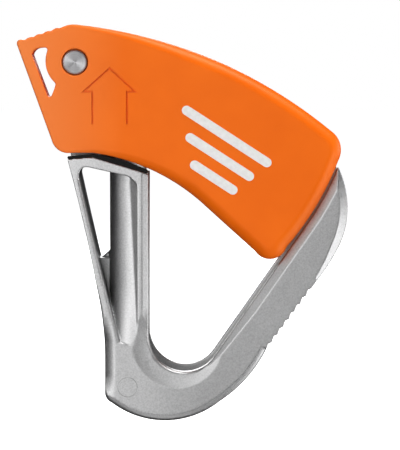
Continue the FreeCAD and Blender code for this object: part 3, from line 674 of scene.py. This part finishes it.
def rounded_left(made):
    """Rolls the faces off to the foot's left edge, front and rear."""
    spots = points_of(made)
    flat = spots[:, [0, 2]]
    gap, _ = to_outline(flat, LEFT_EDGE)
    height = flat[:, 1] / MM
    low, high, fade = -13.2, 4, 5
    share = np.clip(np.minimum(height - low, high - height) / fade, 0, 1)
    reach, wall_from, wall_to = 2.0 * MM, 0.7 * MM, 2.8 * MM
    inset = np.clip(reach - gap, 0, reach) / MM
    roll = (0.15 * inset + 0.24 * inset ** 2) * share * MM
    near = (flat[:, 0] < -12.5 * MM) & (share > 0) & (gap < reach)
    for face, side in ((FRAME_FRONT, 1), (FRAME_REAR, -1)):
        depth = (spots[:, 1] - face) * side
        on_wall = near & (gap < 0.1 * MM) & (depth > wall_from) & (depth < wall_to)
        on_face = near & ~on_wall & (depth < roll)
        wall = wall_to - np.maximum(roll, wall_from)
        stretched = wall_to - (wall_to - depth) * wall / (wall_to - wall_from)
        spots[on_wall, 1] = (face + side * stretched)[on_wall]
        spots[on_face, 1] = (face + side * roll)[on_face]
    set_points(made, spots)


def squared_top(made):
    """Carries the channel's squarish outside on above the ramp's top, up to the shoulder."""
    spots = points_of(made)
    across, deep = spots[:, 0] / MM - CHANNEL_X, spots[:, 1] / MM
    radius = np.hypot(across, deep)
    safe = np.maximum(radius, 1e-9)
    shares = sum(abs(way / safe / CHANNEL_RADIUS) ** OVAL_EXPONENT for way in (across, deep))
    oval = shares ** (-1 / OVAL_EXPONENT)
    height = spots[:, 2] / MM
    skin = (radius > CHANNEL_RADIUS - 0.1) & (radius < oval) & (across < -0.2)
    skin &= (height > RAMP_TOP) & (height < SHOULDER_TOP)
    spots[skin, 0] = ((CHANNEL_X + across * oval / safe) * MM)[skin]
    spots[skin, 1] = (deep * oval / safe * MM)[skin]
    set_points(made, spots)


def blended(made, centre, reach, rounds):
    """Smooths the mesh more and more towards a centre; centre and reach are in millimetres."""
    weights = np.clip(1.5 - 1.5 * distance_to(points_of(made)[:, [0, 2]], centre) / (reach * MM), 0, 1)
    group = made.vertex_groups.new(name="blend")
    for i in np.flatnonzero(weights):
        group.add([int(i)], float(weights[i]), "REPLACE")
    smooth = made.modifiers.new("blend", "SMOOTH")
    smooth.factor = 0.5
    smooth.iterations = rounds
    smooth.vertex_group = "blend"
    applied(made)
    made.vertex_groups.clear()


def frame_casting():
    """Alloy frame with cast, softened edges, and the thin ring that an ejector pin leaves."""
    made = remeshed("frame_body", "frame_casting", FRAME_VOXEL)
    rounded_eye(made, dished(made))
    rounded_left(made)
    squared_top(made)
    blended(made, RAMP_END, 2.7, 25)
    smoothed(made, 5, 190_000)
    bpy.ops.mesh.primitive_torus_add(major_segments=96, minor_segments=12, major_radius=EJECTOR_RADIUS,
                                     minor_radius=EJECTOR_LINE, rotation=(math.pi / 2, 0, 0),
                                     location=(EJECTOR.x, FRAME_FRONT, EJECTOR.z))
    engraved(made, bpy.context.object)
    finished(made, ALLOY, "frame", "frame_alloy", "frame_body", sharp_from=50)


# ---------------------------------------------------------------- the axle

def axle():
    """Axle with a turned, edged head in front and a riveted tail with a dimple behind."""
    front, rear = (corner.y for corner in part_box("pivot_axle"))
    head, shaft, tail = 2.42 * MM, 2.0 * MM, 2.7 * MM
    profile = [(0, front + 0.05 * MM), (0.22 * MM, front + 0.03 * MM), (0.3 * MM, front),
               (head - 0.26 * MM, front), (head - 0.22 * MM, front + 0.02 * MM),
               (head - 0.03 * MM, front + 0.2 * MM), (head, front + 0.28 * MM),
               (head, front + 1.1 * MM), (shaft, front + 1.1 * MM),
               (shaft, rear - 0.55 * MM), (tail, rear - 0.55 * MM), (tail, rear - 0.3 * MM),
               (tail - 0.15 * MM, rear - 0.1 * MM), (tail - 0.5 * MM, rear), (1.2 * MM, rear),
               (0.9 * MM, rear - 0.15 * MM), (0, rear - 0.3 * MM)]
    made = lathe("axle_turned", profile, AXLE)
    finished(made, turned_steel(), "frame", "axle_steel", "pivot_axle", sharp_from=25)


# ---------------------------------------------------------------- every piece

ALLOY = alloy()
NYLON = nylon()
arm()
cover()
frame_casting()
# The stop pad's black is partly painted shade for the gap under the arm.
dress("stop_pad", pad_elastomer_and_shade())
dress("pivot_washer", washer_plastic())
axle()
arm_print()
dress("axle_rear_washer", steel("axle_steel", (0.52, 0.52, 0.53), (0.68, 0.68, 0.69), 0.22, 0.34))
PLATE = steel("stainless", (0.42, 0.42, 0.43), (0.56, 0.56, 0.57), 0.3, 0.42)
dress("toothed_insert", PLATE)
dress("insert_rivets", PLATE)
dress("torsion_spring", steel("spring_steel", (0.4, 0.4, 0.41), (0.52, 0.52, 0.53), 0.2, 0.3))


# ---------------------------------------------------------------- floor, light and camera

FLOOR_GAP = 30 * MM
FLOOR_RADIUS = 4
LIGHT_AIM = Vector((0, 0, 22 * MM))
LIGHT_DISTANCE = 0.9
# Each softbox: azimuth and elevation in degrees, side in metres, and power in watts. Azimuth 0 is in front
# of the part, and 90 at +X.
SOFTBOXES = {
    "front_left": (-10, 5, 0.5, 1.4),
    "key_left": (-25, 5, 0.5, 1.7),
    "wide_left": (-40, 5, 0.5, 0.3),
    "side_left": (-62, 10, 0.5, 0.6),
    "high_left": (-62, 28, 0.5, 0.8),
    "under": (0, -45, 0.5, 0.9),
    "low_right": (55, -20, 0.5, 3.3),
    "side_right": (90, 0, 0.5, 1.5),
    "under_right": (85, -40, 0.5, 1.5),
    "rim_right": (110, 5, 0.5, 1.6),
    "top": (-10, 75, 0.5, 0.7),
    "top_right": (60, 70, 0.5, 6.6),
    "back": (190, 25, 0.6, 5.0),
}
CAMERA_ELEVATION = math.radians(3.7)
CAMERA_DISTANCE = 0.55
CAMERA_AIM = Vector((3.06 * MM, -9.8 * MM, 22.5 * MM))


def floor():
    """Pale floor below the part, far enough down to keep its shadow soft."""
    bpy.ops.mesh.primitive_circle_add(vertices=96, radius=FLOOR_RADIUS, fill_type="NGON",
                                      location=(0, 0, CAD_BOX[0].z - FLOOR_GAP))
    disc = bpy.context.object
    disc.name = "floor"
    material, tree, shader = new_material("floor_white")
    shader.inputs["Base Color"].default_value = (0.9, 0.9, 0.9, 1)
    shader.inputs["Roughness"].default_value = 0.9
    shader.inputs["Specular IOR Level"].default_value = 0.1
    shader.inputs["Emission Color"].default_value = (1, 1, 1, 1)
    shader.inputs["Emission Strength"].default_value = 1.0
    disc.data.materials.append(material)
    disc.visible_diffuse = False
    disc.visible_glossy = False
    disc.visible_shadow = False


def softbox(name, azimuth, elevation, size, power):
    """Square area light at a place on a sphere round the part, facing it."""
    turn, lift = math.radians(azimuth), math.radians(elevation)
    way = Vector((math.sin(turn) * math.cos(lift), -math.cos(turn) * math.cos(lift), math.sin(lift)))
    data = bpy.data.lights.new(name, "AREA")
    data.size = size
    data.energy = power
    made = link(bpy.data.objects.new(name, data))
    made.location = LIGHT_AIM + way * LIGHT_DISTANCE
    made.rotation_euler = (-way).to_track_quat("-Z", "Y").to_euler()


def world():
    """White surroundings, much dimmer as a light than as a background."""
    made = bpy.data.worlds.new("studio")
    bpy.context.scene.world = made
    made.use_nodes = True
    tree = made.node_tree
    background = tree.nodes["Background"]
    seen = add(tree, "ShaderNodeLightPath").outputs["Is Camera Ray"]
    tree.links.new(spread(tree, seen, 0.02, 1.0, 0, 1), background.inputs["Strength"])
    background.inputs["Color"].default_value = (1, 1, 1, 1)


def camera():
    """Long lens, a little above the part, square to its front."""
    data = bpy.data.cameras.new("camera")
    data.lens = 220
    data.sensor_width = 36
    data.clip_start, data.clip_end = 0.05, 20
    made = link(bpy.data.objects.new("camera", data))
    back = Vector((0, -math.cos(CAMERA_ELEVATION), math.sin(CAMERA_ELEVATION)))
    made.location = CAMERA_AIM + back * CAMERA_DISTANCE
    made.rotation_euler = (-back).to_track_quat("-Z", "Y").to_euler()
    bpy.context.scene.camera = made


floor()
world()
for name, placing in SOFTBOXES.items():
    softbox(name, *placing)
camera()
bpy.context.scene.view_settings.view_transform = "Standard"
